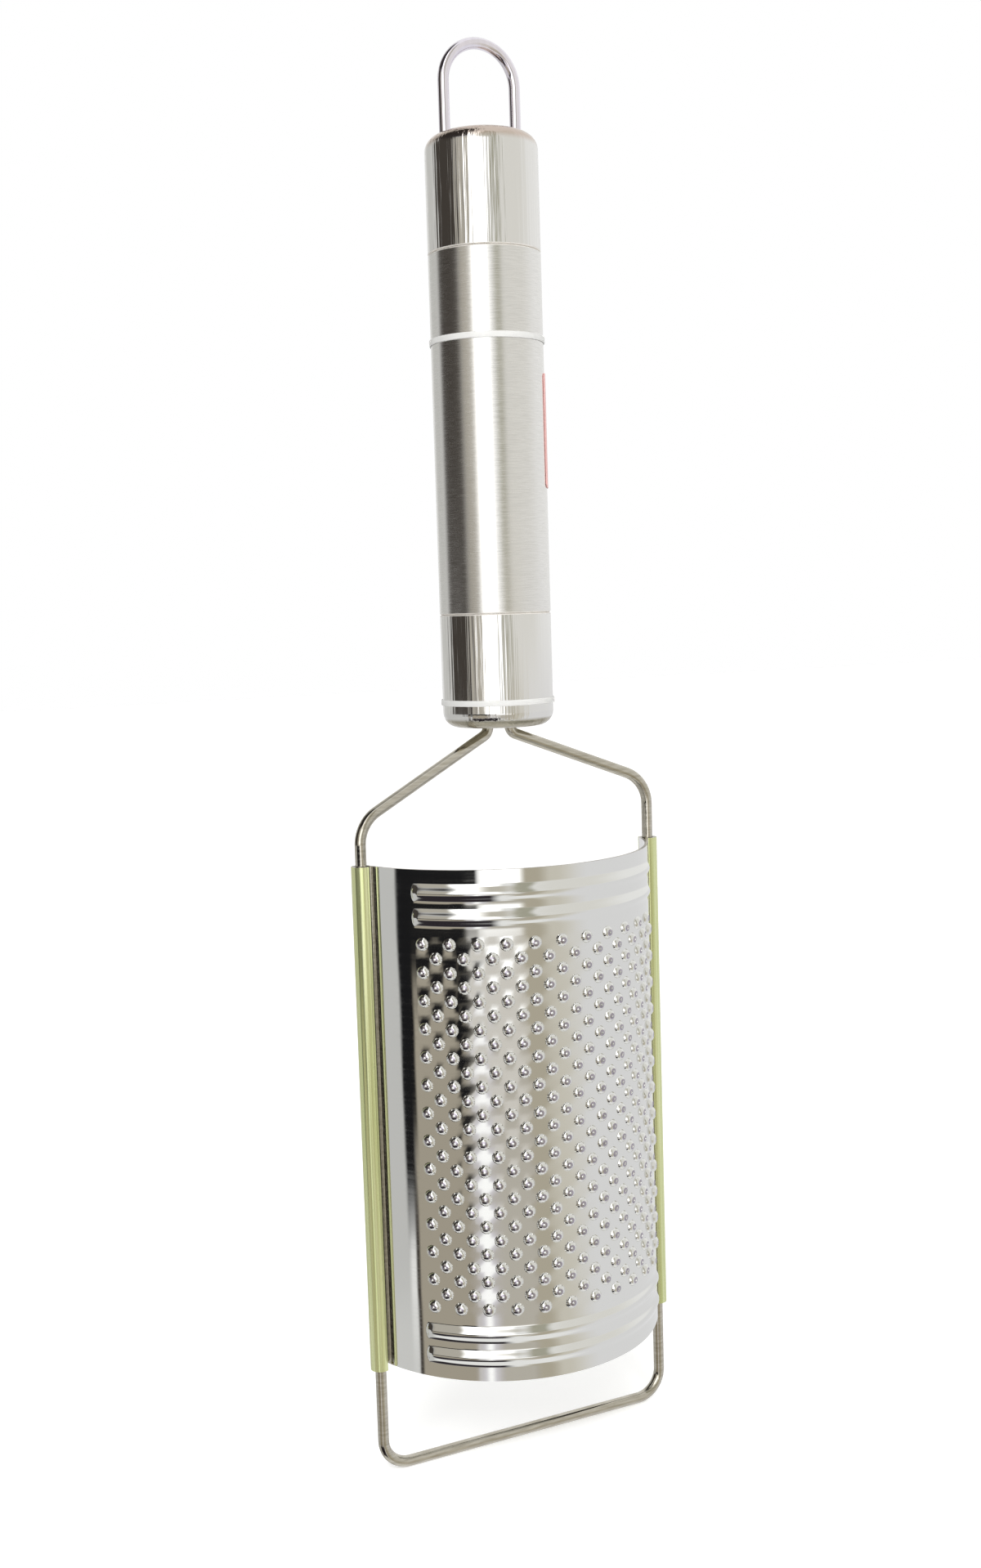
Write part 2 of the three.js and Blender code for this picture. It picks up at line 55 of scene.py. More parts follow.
# %% [markdown]
# ## Measures
# A piece that replaces a solid has to sit exactly where the solid is. So the big measures are read from
# the frame's own boxes, and only what a box can't tell, such as a bend's radius, is written down. The
# solid wire is flat underneath, so its box ends a little above the round wire's lowest point.

# %% Measures from the frame
HANDLE_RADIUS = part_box("handle_tube")[1][0]
TUBE_LOW, TUBE_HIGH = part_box("handle_tube")[0][2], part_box("handle_tube")[1][2]
CAP_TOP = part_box("top_cap")[1][2]
CAP_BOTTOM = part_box("bottom_cap")[0][2]
SHEET_LOW, SHEET_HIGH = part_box("grater_blade")[0][2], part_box("grater_blade")[1][2]
LOOP_TOP, LOOP_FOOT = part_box("hanging_loop")[1][2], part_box("hanging_loop")[0][2]
FRAME_TOP, FRAME_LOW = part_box("wire_frame")[1][2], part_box("wire_frame")[0][2]
WIRE_RADIUS = 1.1 * MM
SOLID_WIRE_SIDES = 12
LEG_X = 32.2 * MM
LEG_Y = -3.3 * MM
BAR_Z = FRAME_LOW + WIRE_RADIUS * math.cos(math.pi / SOLID_WIRE_SIDES)
print("handle radius mm", round(HANDLE_RADIUS / MM, 2))
print("sheet length mm", round((SHEET_HIGH - SHEET_LOW) / MM, 1))

# %% [markdown]
# ## Camera
# The camera stands in front of the grater, to its left and a little above its middle. Its place and its
# angles were found together, from the perspective of the handle, the frame and the sheet.

# %% Camera
CAMERA_PLACE = Vector((-156.36, -306.17, -106.51)) * MM
CAMERA_YAW, CAMERA_PITCH, CAMERA_ROLL = math.radians(26.718), math.radians(5.899), math.radians(-1.7987)
CAMERA_LENS, CAMERA_SENSOR = 39.53, 36
CAMERA_NEAR = 10 * MM
camera_data = bpy.data.cameras.new("camera")
camera_data.lens = CAMERA_LENS
camera_data.sensor_width = CAMERA_SENSOR
camera_data.clip_start = CAMERA_NEAR
camera = bpy.data.objects.new("camera", camera_data)
bpy.context.collection.objects.link(camera)
camera_turn = Matrix.Rotation(-CAMERA_YAW, 4, "Z") @ Matrix.Rotation(math.pi / 2 - CAMERA_PITCH, 4, "X")
camera.matrix_world = Matrix.Translation(CAMERA_PLACE) @ camera_turn @ Matrix.Rotation(CAMERA_ROLL, 4, "Z")
bpy.context.scene.camera = camera
print("camera at mm", [round(value / MM, 1) for value in CAMERA_PLACE])

# %% [markdown]
# ## Small tools for the hands
# Operators act on all that is selected, so each step starts with nothing selected. Faces and edges are
# then chosen in code, by where they lie.

# %% Selecting
SAME_PLACE = 0.001 * MM


def fresh():
    if bpy.context.object and bpy.context.object.mode != "OBJECT":
        bpy.ops.object.mode_set(mode="OBJECT")
    bpy.ops.object.select_all(action="DESELECT")


def take(piece):
    fresh()
    bpy.context.view_layer.objects.active = piece
    piece.select_set(True)


def edit(piece):
    take(piece)
    bpy.ops.object.mode_set(mode="EDIT")
    bpy.ops.mesh.select_all(action="DESELECT")


def choose(piece, kind, test):
    bpy.ops.mesh.select_mode(type=kind)
    mesh = bmesh.from_edit_mesh(piece.data)
    parts = {"VERT": mesh.verts, "EDGE": mesh.edges, "FACE": mesh.faces}[kind]
    for part in parts:
        part.select_set(False)
    for part in parts:
        if test(part):
            part.select_set(True)
    mesh.select_flush_mode()
    bmesh.update_edit_mesh(piece.data)


# %% [markdown]
# ### Adding and finishing a piece
# A new primitive gets its name, and its place goes into its mesh. Modifiers are applied at once, so the
# next step works on their result. A mesh built of several runs has its doubles merged and its faces
# turned outwards. Last, each piece is attached to the body it moves with, and the solid it stands for is
# hidden.

# %% Adding and finishing
def added(name):
    piece = bpy.context.object
    piece.name = name
    piece.data.name = name
    bpy.ops.object.transform_apply(location=True, rotation=True, scale=True)
    return piece


def apply_modifier(piece, kind, **settings):
    take(piece)
    modifier = piece.modifiers.new(kind.lower(), kind)
    for key, value in settings.items():
        setattr(modifier, key, value)
    bpy.ops.object.modifier_apply(modifier=modifier.name)


def close_up(piece, distance=SAME_PLACE):
    edit(piece)
    bpy.ops.mesh.select_all(action="SELECT")
    bpy.ops.mesh.remove_doubles(threshold=distance)
    bpy.ops.mesh.normals_make_consistent(inside=False)
    fresh()


def smooth(piece, degrees=40, weighted=False):
    take(piece)
    bpy.ops.object.shade_smooth_by_angle(angle=math.radians(degrees))
    if weighted:
        apply_modifier(piece, "WEIGHTED_NORMAL", keep_sharp=True)


def place(piece, node):
    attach(piece, "root")
    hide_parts(node)
    print(piece.name, "has", len(piece.data.polygons), "faces")


# %% [markdown]
# ## Handle
# The handle is a thin tube with a cap plugged into each end. Seen from outside the three look like one
# rod, parted only by two fine grooves. A lathe profile would do, but a cylinder with its edges bevelled
# is quicker and keeps the grooves easy to change. The caps get their spigots by inset and extrude.

# %% Turned blanks
HANDLE_SIDES = 96
SEAM_CHAMFER = 0.25 * MM
SPIGOT_STEP = 0.9 * MM
SPIGOT_LENGTH = 8 * MM


def turned(name, radius, low, high, ends="NGON"):
    middle = (0, 0, (low + high) / 2)
    fresh()
    bpy.ops.mesh.primitive_cylinder_add(
        vertices=HANDLE_SIDES, radius=radius, depth=high - low, end_fill_type=ends, location=middle
    )
    return added(name)


def at_height(edge, height):
    return all(abs(vert.co.z - height) < SAME_PLACE for vert in edge.verts)


def round_edge(piece, height, width, segments):
    edit(piece)
    choose(piece, "EDGE", lambda edge: at_height(edge, height))
    bpy.ops.mesh.bevel(offset=width, offset_type="OFFSET", segments=segments, profile=0.5, affect="EDGES")
    fresh()


def spigot(piece, height, direction):
    def is_flat_end(face):
        return len(face.verts) == HANDLE_SIDES and abs(face.calc_center_median().z - height) < SAME_PLACE

    edit(piece)
    choose(piece, "FACE", is_flat_end)
    bpy.ops.mesh.inset(thickness=SPIGOT_STEP - SEAM_CHAMFER)
    bpy.ops.mesh.extrude_region_move(TRANSFORM_OT_translate={"value": (0, 0, direction * SPIGOT_LENGTH)})
    fresh()


# %% [markdown]
# ### Caps
# Both caps have the same soft shoulder. Holes for the wires are drilled with a boolean, a hair wider than
# the wire. Weighted normals let the long straight wall keep its own shading right up to the shoulder, as
# a mirror needs.

# %% Model the caps
SEAM_GAP = 0.03 * MM
SHOULDER = 3 * MM
SHOULDER_STEPS = 12
LOOP_X = 7.65 * MM
TANG_X = 2.45 * MM
HOLE_CLEARANCE = 0.12 * MM
DRILL_DEPTH = 12 * MM
DRILL_SIDES = 32


def drill(piece, x, height):
    for side in (-1, 1):
        fresh()
        bpy.ops.mesh.primitive_cylinder_add(
            vertices=DRILL_SIDES,
            radius=WIRE_RADIUS + HOLE_CLEARANCE,
            depth=DRILL_DEPTH,
            location=(side * x, 0, height),
        )
        bit = added("bit")
        apply_modifier(piece, "BOOLEAN", operation="DIFFERENCE", object=bit, solver="EXACT")
        bpy.data.objects.remove(bit)


def handle_cap(name, seam, end, hole_x):
    cap = turned(name, HANDLE_RADIUS, min(seam, end), max(seam, end))
    round_edge(cap, end, SHOULDER, SHOULDER_STEPS)
    round_edge(cap, seam, SEAM_CHAMFER, 1)
    spigot(cap, seam, 1 if seam > end else -1)
    drill(cap, hole_x, end)
    smooth(cap, degrees=50, weighted=True)
    return cap


handle_top = handle_cap("handle_top", TUBE_HIGH + SEAM_GAP, CAP_TOP, LOOP_X)
handle_bottom = handle_cap("handle_bottom", TUBE_LOW - SEAM_GAP, CAP_BOTTOM, TANG_X)
place(handle_top, "top_cap")
place(handle_bottom, "bottom_cap")

# %% [markdown]
# ### Tube
# The middle of the handle is a thin brushed tube. A solid rod would look the same from outside, but the
# caps' spigots need their room. So the tube is an open cylinder, thickened inwards to keep the handle's
# radius outside. A small chamfer at each end makes its half of the groove.

# %% Model the tube
TUBE_WALL = 0.8 * MM


def on_outer_rim(edge, height):
    outside = all(vert.co.xy.length > HANDLE_RADIUS - TUBE_WALL / 2 for vert in edge.verts)
    return outside and at_height(edge, height)


handle_middle = turned("handle_middle", HANDLE_RADIUS, TUBE_LOW, TUBE_HIGH, "NOTHING")
apply_modifier(handle_middle, "SOLIDIFY", thickness=TUBE_WALL, offset=-1)
for height in (TUBE_LOW, TUBE_HIGH):
    edit(handle_middle)
    choose(handle_middle, "EDGE", lambda edge: on_outer_rim(edge, height))
    bpy.ops.mesh.bevel(offset=SEAM_CHAMFER, segments=1, affect="EDGES")
    fresh()
smooth(handle_middle, degrees=50, weighted=True)
place(handle_middle, "handle_tube")

# %% [markdown]
# ## Wires
# The loop and the frame are each one wire, bent over pins. A curve with a round bevel would give a wire
# too. Here a disc the size of the wire is extruded along each straight run and spun round the pin at each
# bend, as the wire itself is made, so every bend is a true arc.

# %% Bend a wire
WIRE_SIDES = 20
BEND_STEPS = 12


def wire_end(name, place_at, heading):
    fresh()
    bpy.ops.mesh.primitive_circle_add(
        vertices=WIRE_SIDES,
        radius=WIRE_RADIUS,
        fill_type="NGON",
        location=place_at,
        rotation=heading.to_track_quat("Z", "Y").to_euler(),
    )
    return added(name)


def bent_wire(name, corners, radii):
    points = [Vector(corner) for corner in corners]
    heading = (points[1] - points[0]).normalized()
    wire = wire_end(name, points[0], heading)
    edit(wire)
    bpy.ops.mesh.select_mode(type="FACE")
    bpy.ops.mesh.select_all(action="SELECT")
    here = points[0]
    for corner, after, radius in zip(points[1:-1], points[2:], radii):
        leaving = (after - corner).normalized()
        turn = heading.angle(leaving)
        reach = radius * math.tan(turn / 2)
        start = corner - heading * reach
        if (start - here).length > SAME_PLACE:
            bpy.ops.mesh.extrude_region_move(TRANSFORM_OT_translate={"value": start - here})
        axis = heading.cross(leaving).normalized()
        centre = start + axis.cross(heading) * radius
        bpy.ops.mesh.spin(steps=BEND_STEPS, dupli=False, angle=-turn, center=centre, axis=axis)
        here = corner + leaving * reach
        heading = leaving
    bpy.ops.mesh.extrude_region_move(TRANSFORM_OT_translate={"value": points[-1] - here})
    close_up(wire)
    return wire


# %% [markdown]
# ### Loop and frame
# The loop is a staple: two legs and a half-round crown. The frame starts inside the handle, leaves it
# over the left arm, goes down that side, along the bottom bar and up the other side. Its right shoulder
# sits higher than the left. Each wire is given by its corners and by the radius of the bend at each.

# %% Model the loop and the frame
TANG_EXIT = CAP_BOTTOM - 1.4 * MM
LEFT_SHOULDER = CAP_BOTTOM - 16.8 * MM
RIGHT_SHOULDER = CAP_BOTTOM - 13 * MM
TANG_BEND, SHOULDER_BEND, CORNER_BEND = 2 * MM, 7 * MM, 5.5 * MM
LOOP_CROWN = LOOP_TOP - WIRE_RADIUS
loop_wire = bent_wire(
    "loop_wire",
    [(-LOOP_X, 0, LOOP_FOOT), (-LOOP_X, 0, LOOP_CROWN), (LOOP_X, 0, LOOP_CROWN), (LOOP_X, 0, LOOP_FOOT)],
    [LOOP_X, LOOP_X],
)
frame_wire = bent_wire(
    "frame_wire",
    [
        (-TANG_X, 0, FRAME_TOP),
        (-TANG_X, 0, TANG_EXIT),
        (-LEG_X, LEG_Y, LEFT_SHOULDER),
        (-LEG_X, LEG_Y, BAR_Z),
        (LEG_X, LEG_Y, BAR_Z),
        (LEG_X, LEG_Y, RIGHT_SHOULDER),
        (TANG_X, 0, TANG_EXIT),
        (TANG_X, 0, FRAME_TOP),
    ],
    [TANG_BEND, SHOULDER_BEND, CORNER_BEND, CORNER_BEND, SHOULDER_BEND, TANG_BEND],
)
for piece, node in ((loop_wire, "hanging_loop"), (frame_wire, "wire_frame")):
    smooth(piece, weighted=True)
    place(piece, node)

# %% [markdown]
# ## Grating sheet
# On the real object a flat strip is punched, pressed and only then rolled, so it is made in that order
# here. One tooth is modelled in a square tile and copied over a staggered field. A grid with the same
# lines fills the rest, the ribs are pressed into it, and it gets its thickness. Last, the flat sheet is
# rolled: an arc in the middle, and a tight curl round each side wire. A curl goes round until the gap
# from its lip to the face is as small as on the real sheet.

# %% Sizes of the flat sheet
ARC_CENTRE_Y = 6.1 * MM
LEG_ANGLE = math.atan2(LEG_X, ARC_CENTRE_Y - LEG_Y)
CURL_RADIUS = 1.2 * MM
FACE_RADIUS = math.hypot(LEG_X, ARC_CENTRE_Y - LEG_Y) - CURL_RADIUS
SHEET_THICKNESS = 0.6 * MM
LIP_GAP = 0.9 * MM
CURL_WRAP = 2 * math.pi - math.acos((CURL_RADIUS - LIP_GAP) / (CURL_RADIUS + SHEET_THICKNESS))
FLANGE_END = LEG_ANGLE * FACE_RADIUS
STEP = 2.725 * MM
COLUMNS, ROWS = 22, 27
SHEET_MIDDLE = (SHEET_LOW + SHEET_HIGH) / 2
FIELD_X, FIELD_Y = COLUMNS * STEP / 2, ROWS * STEP / 2
HALF_LENGTH = (SHEET_HIGH - SHEET_LOW) / 2
print("face radius mm", round(FACE_RADIUS / MM, 2), "curl turns", round(math.degrees(CURL_WRAP)), "degrees")

# %% [markdown]
# ### One tooth
# A tooth is a round dome, burst open at the top into a small funnel. A ring of edges at the funnel's foot
# is extruded and scaled, ring by ring, up to the lip and down to the sheet. The rings are given as radius
# and height in millimetres. The last ring is pushed out to the square tile's sides, with a corner of the
# ring in each corner of the tile, so that tiles join without a gap. The crown, stretched when it bursts,
# gets a duller finish of its own, and its dark violet colour is a painted reflection.

# %% Model one tooth
TOOTH_SIDES = 12
TOOTH_RINGS = [(0.16, 0.4), (0.26, 0.69), (0.64, 0.64), (0.94, 0.5), (1.18, 0.28), (1.33, 0)]
CROWN_REFLECTION_RADII = (0.25 * MM, 0.64 * MM)
SHEET_FINISHES = ("sheet_mirror", "sheet_cut", "crown_reflection")


def tooth_tile():
    radius, height = TOOTH_RINGS[0]
    fresh()
    bpy.ops.mesh.primitive_circle_add(vertices=TOOTH_SIDES, radius=radius * MM, location=(0, 0, height * MM))
    tile = added("tooth")
    edit(tile)
    bpy.ops.mesh.select_mode(type="EDGE")
    bpy.ops.mesh.select_all(action="SELECT")
    bpy.ops.transform.rotate(value=math.pi / TOOTH_SIDES, orient_axis="Z", center_override=(0, 0, 0))
    for next_radius, next_height in TOOTH_RINGS[1:] + [(STEP / 2 / MM, 0)]:
        grow = next_radius / radius
        bpy.ops.mesh.extrude_edges_move(TRANSFORM_OT_translate={"value": (0, 0, (next_height - height) * MM)})
        bpy.ops.transform.resize(value=(grow, grow, 1), center_override=(0, 0, 0))
        radius, height = next_radius, next_height
    fresh()
    for vert in tile.data.vertices:
        if vert.co.xy.length > STEP / 2 - SAME_PLACE:
            vert.co.xy *= STEP / 2 / max(abs(vert.co.x), abs(vert.co.y))
    return tile


tooth = tooth_tile()
for finish in SHEET_FINISHES:
    tooth.data.materials.append(bpy.data.materials.new(finish))
# The crown's faces take the finish that carries the painted reflection.
for face in tooth.data.polygons:
    if CROWN_REFLECTION_RADII[0] < face.center.xy.length < CROWN_REFLECTION_RADII[1]:
        face.material_index = SHEET_FINISHES.index("crown_reflection")
print("one tooth has", len(tooth.data.polygons), "faces")

# %% [markdown]
# ### The field of teeth
# The teeth stand in staggered rows. Placing each one by a loop would work, but array modifiers are
# quicker: one copies the tooth along a row, and one a pair of staggered rows down the sheet. The last
# staggered row is one too many and is deleted.

# %% Copy the tooth over the field
def move(piece, offset):
    take(piece)
    bpy.ops.transform.translate(value=offset)
    bpy.ops.object.transform_apply(location=True)


def shifted_copy(piece, offset):
    take(piece)
    bpy.ops.object.duplicate()
    copy = bpy.context.object
    move(copy, offset)
    return copy


def join(piece, other):
    take(piece)
    other.select_set(True)
    bpy.ops.object.join()


def repeat(piece, count, offset):
    apply_modifier(
        piece,
        "ARRAY",
        count=count,
        use_relative_offset=False,
        use_constant_offset=True,
        constant_offset_displace=offset,
    )


move(tooth, (STEP / 2 - FIELD_X, FIELD_Y - STEP / 2, 0))
repeat(tooth, COLUMNS // 2, (2 * STEP, 0, 0))
join(tooth, shifted_copy(tooth, (STEP, -STEP, 0)))
repeat(tooth, ROWS // 2 + 1, (0, -2 * STEP, 0))
edit(tooth)
choose(tooth, "FACE", lambda face: face.calc_center_median().y < -FIELD_Y)
bpy.ops.mesh.delete(type="FACE")
fresh()
print("field of", len(tooth.data.polygons), "faces")

# %% [markdown]
# ### The plain sheet around the teeth
# Around and between the teeth the sheet is plain. It could be filled in by hand, but a grid is sure to
# fit: its lines follow the tiles inside the field. Beside it they run close together across the ribs, at
# the ribs' ends and round the curls, where the sheet bends most.

# %% Lay the grid
RING_CORNER = math.tan(math.pi / TOOTH_SIDES)
TILE_LINES = np.array([-RING_CORNER, RING_CORNER, 1]) * STEP / 2
CURL_COLUMNS = 20
MARGIN_ROWS = 40
FLANGE_LINES = np.array([0.14, 0.28, 0.42, 0.56, 0.75, 1.05, 1.6, 2.6, 4, 5.5, 7, 8.5, 10]) * MM


def sheet_lines(count, margin_lines):
    tiles = [(i - (count - 1) / 2) * STEP + TILE_LINES for i in range(count)]
    field = np.concatenate([[-count * STEP / 2], *tiles])
    return np.concatenate([-margin_lines[::-1], field, margin_lines])


curl_lines = FLANGE_END + CURL_RADIUS * CURL_WRAP * np.arange(CURL_COLUMNS + 1) / CURL_COLUMNS
across = sheet_lines(COLUMNS, np.concatenate([FIELD_X + FLANGE_LINES, curl_lines]))
along = sheet_lines(ROWS, np.linspace(FIELD_Y, HALF_LENGTH, MARGIN_ROWS + 1)[1:])
fresh()
bpy.ops.mesh.primitive_grid_add(x_subdivisions=len(across) - 1, y_subdivisions=len(along) - 1, size=1)
grating_sheet = added("grating_sheet")
for finish in SHEET_FINISHES:
    grating_sheet.data.materials.append(bpy.data.materials[finish])
flat = np.zeros((len(along), len(across), 3))
flat[:, :, 0] = across
flat[:, :, 1] = along[:, None]
grating_sheet.data.vertices.foreach_set("co", flat.ravel())
print("grid of", len(across), "by", len(along), "lines")

# %% [markdown]
# ### Teeth into the grid
# Squares that a tooth fills are taken out, and the two meshes are merged. On an open sheet the operator
# that turns faces outwards can't tell which side is out, so the sheet is flipped if it chose the back.

# %% Merge the teeth into the grid
MERGE_DISTANCE = 0.01 * MM


def holds_tooth(face):
    centre = face.calc_center_median()
    column, row = (centre.x + FIELD_X) / STEP, (FIELD_Y - centre.y) / STEP
    inside = 0 < column < COLUMNS and 0 < row < ROWS
    return inside and (int(column) + int(row)) % 2 == 0


edit(grating_sheet)
choose(grating_sheet, "FACE", holds_tooth)
bpy.ops.mesh.delete(type="FACE")
join(grating_sheet, tooth)
close_up(grating_sheet, MERGE_DISTANCE)
if grating_sheet.data.polygons[0].normal.z < 0:
    edit(grating_sheet)
    bpy.ops.mesh.select_all(action="SELECT")
    bpy.ops.mesh.flip_normals()
    fresh()
print("flat sheet of", len(grating_sheet.data.polygons), "faces")

# %% [markdown]
# ### Ribs
# Each rib is a long bead with round ends, pressed up across the sheet. A rod joined to the sheet would
# leave a sharp line along its foot, so the grid's own points are raised. The height follows a cosine,
# full on the rib's middle line and nothing at its edge, and no crease shows where it leaves the sheet.

# %% Press the ribs
RIB_DEPTHS = (4.5 * MM, 9.2 * MM)
RIB_HALF_WIDTH = 1.75 * MM
RIB_HEIGHT = 0.55 * MM
RIB_END = 29.8 * MM
RIB_END_REACH = 0.75 * MM


def read_points(piece):
    points = np.zeros(len(piece.data.vertices) * 3)
    piece.data.vertices.foreach_get("co", points)
    return points.reshape(-1, 3)


def write_points(piece, points):
    piece.data.vertices.foreach_set("co", points.ravel())
    piece.data.update()


pressed = read_points(grating_sheet)
depth = HALF_LENGTH - np.abs(pressed[:, 1])
beyond = np.maximum(np.abs(pressed[:, 0]) - RIB_END, 0) / RIB_END_REACH
for rib_depth in RIB_DEPTHS:
    reach = np.minimum(np.hypot(beyond, (depth - rib_depth) / RIB_HALF_WIDTH), 1)
    pressed[:, 2] += RIB_HEIGHT * (0.5 + 0.5 * np.cos(np.pi * reach))
print("ribs", [round(rib_depth / MM, 1) for rib_depth in RIB_DEPTHS], "mm from each end")

# %% [markdown]
# ### Quilting
# Punching leaves the field slightly quilted: the metal is drawn up round every tooth and sinks between
# four of them, which makes the reflections dance. Two crossed sine waves with their peaks on the teeth
# give this. Points that the teeth raise are noted first, for the thickness.

# %% Quilt the field
QUILT = 0.035 * MM
DRAWN_ABOVE = 0.1 * MM
in_field = (np.abs(pressed[:, 0]) <= FIELD_X) & (np.abs(pressed[:, 1]) <= FIELD_Y)
is_drawn = in_field & (pressed[:, 2] > DRAWN_ABOVE)
swell = np.sin(np.pi * (pressed[:, 0] + FIELD_X) / STEP) * np.sin(np.pi * (FIELD_Y - pressed[:, 1]) / STEP)
pressed[:, 2] += np.where(in_field, QUILT * swell, 0)
write_points(grating_sheet, pressed)
print("quilted", int(in_field.sum()), "points, of which", int(is_drawn.sum()), "are drawn out")

# %% [markdown]
# ### Thickness
# Solidify adds the thickness behind the grating face. A vertex group keeps it full on the plain sheet and
# thin where the teeth are drawn out, as stretched metal is. The rim takes the finish of a cut edge.

# %% Thicken the sheet
DRAWN_SHARE = 0.35
full_group = grating_sheet.vertex_groups.new(name="full_thickness")
full_group.add(np.flatnonzero(~is_drawn).tolist(), 1, "REPLACE")
apply_modifier(
    grating_sheet,
    "SOLIDIFY",
    thickness=SHEET_THICKNESS,
    offset=-1,
    vertex_group=full_group.name,
    thickness_vertex_group=DRAWN_SHARE,
    material_offset_rim=SHEET_FINISHES.index("sheet_cut"),
)
print("thick sheet of", len(grating_sheet.data.polygons), "faces")

# %% [markdown]
# ### Roll the sheet
# A bending tool makes one bend, and this sheet has three, so each point is moved by a formula instead.
# It keeps its distance from the grating face. In the middle the face follows the arc, and past the flange
# it turns round the side wire, so the face ends up on the inside of the curl.

# %% Roll it to its arc and curls
def rolled(flat_points):
    side = np.sign(flat_points[:, 0])
    run, rise = np.abs(flat_points[:, 0]), flat_points[:, 2]
    angle = np.minimum(run, FLANGE_END) / FACE_RADIUS
    arc_x = (FACE_RADIUS + rise) * np.sin(angle)
    arc_y = ARC_CENTRE_Y - (FACE_RADIUS + rise) * np.cos(angle)
    turn = math.pi / 2 + LEG_ANGLE - (run - FLANGE_END) / CURL_RADIUS
    curl_x = LEG_X + (CURL_RADIUS - rise) * np.cos(turn)
    curl_y = LEG_Y + (CURL_RADIUS - rise) * np.sin(turn)
    on_curl = run > FLANGE_END
    x = np.where(on_curl, curl_x, arc_x)
    y = np.where(on_curl, curl_y, arc_y)
    return np.stack([side * x, y, SHEET_MIDDLE + flat_points[:, 1]], axis=1)


write_points(grating_sheet, rolled(read_points(grating_sheet)))
smooth(grating_sheet, degrees=50)
place(grating_sheet, "grater_blade")

# %% [markdown]
# ## Film on the rolled edges
# The maker's protective film is still on both rolled edges. It is a thin plastic skin over the curl, so
# it is made as a grid rolled at the curl's outside, with a small thickness. It starts a little way round
# the curl and hangs a little past the sheet's lower end.

# %% Model the films
FILM_GAP, FILM_THICKNESS = 0.05 * MM, 0.12 * MM
FILM_COLUMNS, FILM_ROWS = 24, 60
FILM_BARE_SHARE = 1 / 9
FILM_FROM = CURL_WRAP * FILM_BARE_SHARE
FILM_OVERHANG = 0.9 * MM
FILM_RADIUS = CURL_RADIUS + SHEET_THICKNESS + FILM_GAP


def edge_film(name, side):
    fresh()
    bpy.ops.mesh.primitive_grid_add(x_subdivisions=FILM_COLUMNS, y_subdivisions=FILM_ROWS, size=1)
    skin = added(name)
    points = read_points(skin)
    turn = math.pi / 2 + LEG_ANGLE - FILM_FROM - (points[:, 0] + 0.5) * (CURL_WRAP - FILM_FROM)
    x = LEG_X + FILM_RADIUS * np.cos(turn)
    y = LEG_Y + FILM_RADIUS * np.sin(turn)
    z = SHEET_HIGH + (points[:, 1] - 0.5) * (2 * HALF_LENGTH + FILM_OVERHANG)
    write_points(skin, np.stack([side * x, y, z], axis=1))
    close_up(skin)
    middle = skin.data.polygons[len(skin.data.polygons) // 2]
    outward = Vector((middle.center.x - side * LEG_X, middle.center.y - LEG_Y, 0))
    faces_out = middle.normal.dot(outward) > 0
    apply_modifier(skin, "SOLIDIFY", thickness=FILM_THICKNESS, offset=1 if faces_out else -1)
    close_up(skin)
    smooth(skin)
    return skin


film_left = edge_film("film_left", -1)
film_right = edge_film("film_right", 1)
place(film_left, "left_edge_film")
place(film_right, "right_edge_film")

# %% [markdown]
# ## Bands
# Two clear bands grip the handle. A torus would be too round for them, because a band lies flat on the
# tube. So it starts as an open cylinder, which is thickened and has its edges rounded.

# %% Model the bands
WRAP_GAP = 0.05 * MM
BAND_THICKNESS = 0.25 * MM
BAND_ROUNDING = 0.09 * MM
BAND_STEPS = 3


def handle_band(name, node):
    low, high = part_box(node)[0][2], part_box(node)[1][2]
    ring = turned(name, HANDLE_RADIUS + WRAP_GAP + BAND_THICKNESS, low, high, "NOTHING")
    apply_modifier(ring, "SOLIDIFY", thickness=BAND_THICKNESS, offset=-1)
    apply_modifier(ring, "BEVEL", width=BAND_ROUNDING, segments=BAND_STEPS, limit_method="ANGLE")
    smooth(ring, degrees=60)
    place(ring, node)
    return ring


band_upper = handle_band("band_upper", "upper_band")
band_lower = handle_band("band_lower", "lower_band")

# %% [markdown]
# ## Label
# A paper label is stuck to the handle's far side. A flat sheet would have to be bent to the handle, so
# it is cut out of an open cylinder, which has the right curve already. Its corners are cut while it is
# still a single skin, and then it gets its thickness.

# %% Model the label
LABEL_THICKNESS = 0.15 * MM
LABEL_RADIUS = HANDLE_RADIUS + WRAP_GAP + LABEL_THICKNESS
LABEL_LOW, LABEL_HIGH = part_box("paper_label")[0][2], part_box("paper_label")[1][2]
LABEL_FROM, LABEL_TO = math.radians(-43), math.radians(30)
LABEL_CORNER = 0.6 * MM


def off_label(face):
    middle = face.calc_center_median()
    return not LABEL_FROM < math.atan2(middle.y, middle.x) < LABEL_TO


label_plain = turned("label_plain", LABEL_RADIUS, LABEL_LOW, LABEL_HIGH, "NOTHING")
edit(label_plain)
choose(label_plain, "FACE", off_label)
bpy.ops.mesh.delete(type="FACE")
choose(label_plain, "VERT", lambda vert: len(vert.link_edges) == 2)
bpy.ops.mesh.bevel(offset=LABEL_CORNER, segments=1, affect="VERTICES", clamp_overlap=True)
fresh()
apply_modifier(label_plain, "SOLIDIFY", thickness=LABEL_THICKNESS, offset=-1)
smooth(label_plain)
place(label_plain, "paper_label")

# %% [markdown]
# ## Finishes
# All metal here is the same steel, polished, brushed or drawn. Fine noise in colour, roughness and bump
# keeps it from looking like chrome paint. A few helpers set up the nodes.

